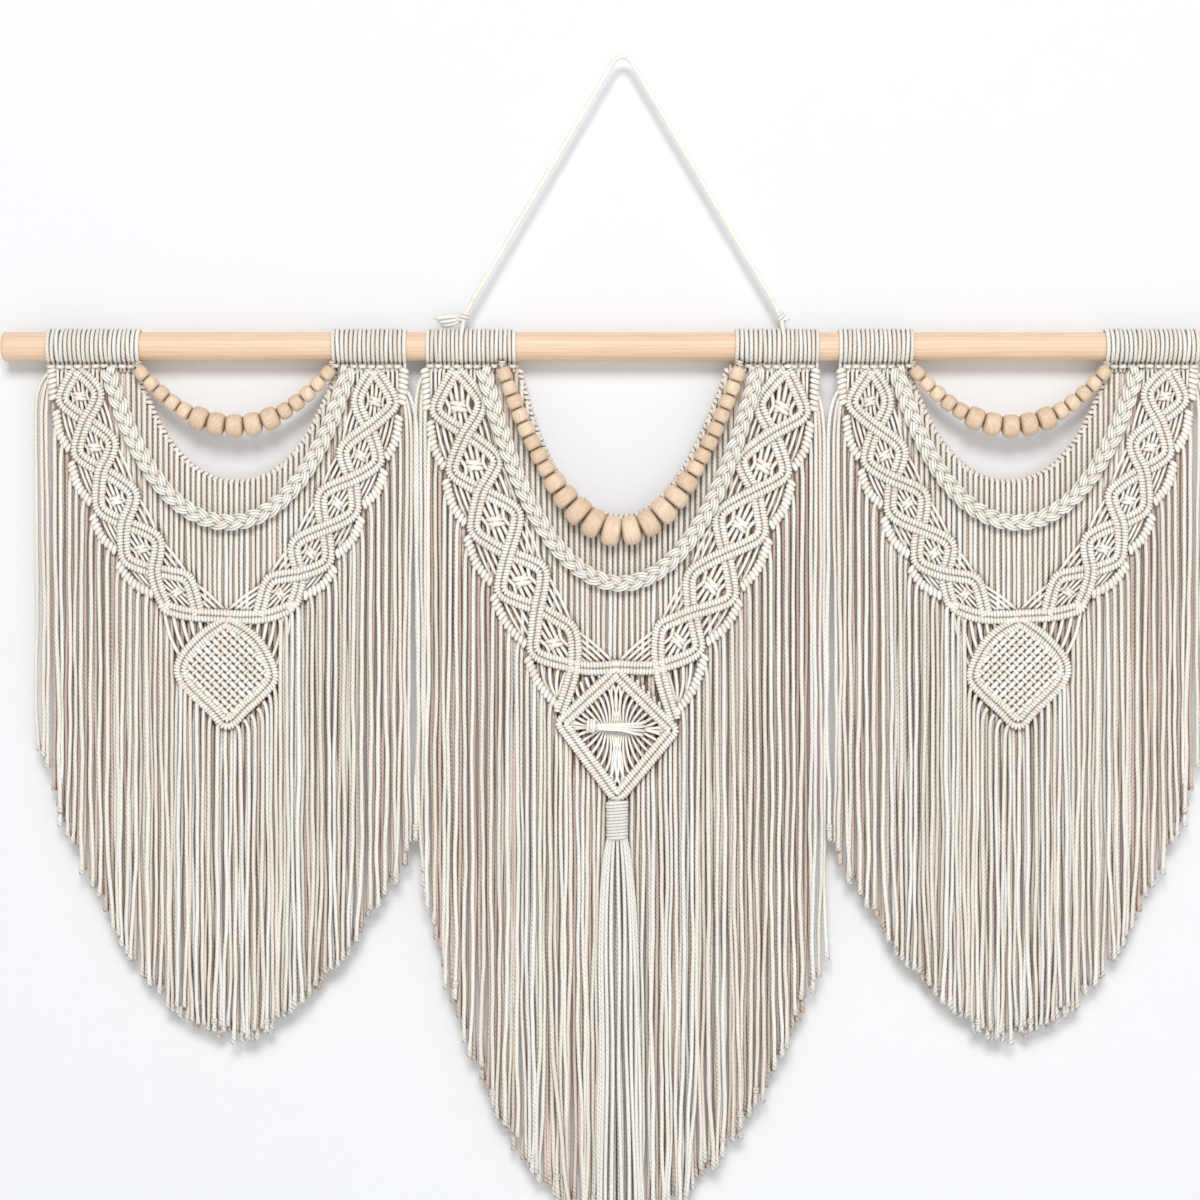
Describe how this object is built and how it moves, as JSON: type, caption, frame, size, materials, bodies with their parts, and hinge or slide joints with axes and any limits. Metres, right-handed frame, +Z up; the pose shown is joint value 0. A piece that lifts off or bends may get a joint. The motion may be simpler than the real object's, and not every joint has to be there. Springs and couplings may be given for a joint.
{
  "type": "macrame wall hanging with wooden dowel",
  "caption": "Wide macrame wall hanging: knotted panels with diamond chains, braids, wooden bead swags and long fringe, on a wooden dowel with a hanging cord.",
  "frame": {"origin": "the point under the bend of the hanging cord where it rests on its hook", "axes": "+X to the right along the dowel as seen from the front, +Y back into the wall, +Z up"},
  "size_m": [1.09, 0.0408, 1.0363],
  "materials": {
    "cotton_cord": "soft matte twisted cotton",
    "dowel_wood": "bare pine, smooth",
    "bead_wood": "bare beech, smooth"
  },
  "bodies": {
    "root": {"left_wrap_1": "cotton_cord", "left_wrap_2": "cotton_cord", "centre_wrap_1": "cotton_cord", "centre_wrap_2": "cotton_cord", "centre_wrap_3": "cotton_cord", "centre_wrap_4": "cotton_cord", "right_wrap_1": "cotton_cord", "right_wrap_2": "cotton_cord", "left_knotwork": "cotton_cord", "centre_knotwork": "cotton_cord", "right_knotwork": "cotton_cord", "left_back_fringe": "cotton_cord", "centre_back_fringe": "cotton_cord", "right_back_fringe": "cotton_cord", "left_braid": "cotton_cord", "centre_braid": "cotton_cord", "right_braid": "cotton_cord", "centre_tie": "cotton_cord", "centre_tassel": "cotton_cord", "hanger_loop_left": "cotton_cord", "hanger_loop_right": "cotton_cord", "hanging_cord": "cotton_cord", "left_beads": "bead_wood", "centre_beads": "bead_wood", "right_beads": "bead_wood", "dowel": "dowel_wood"}
  },
  "joints": []
}
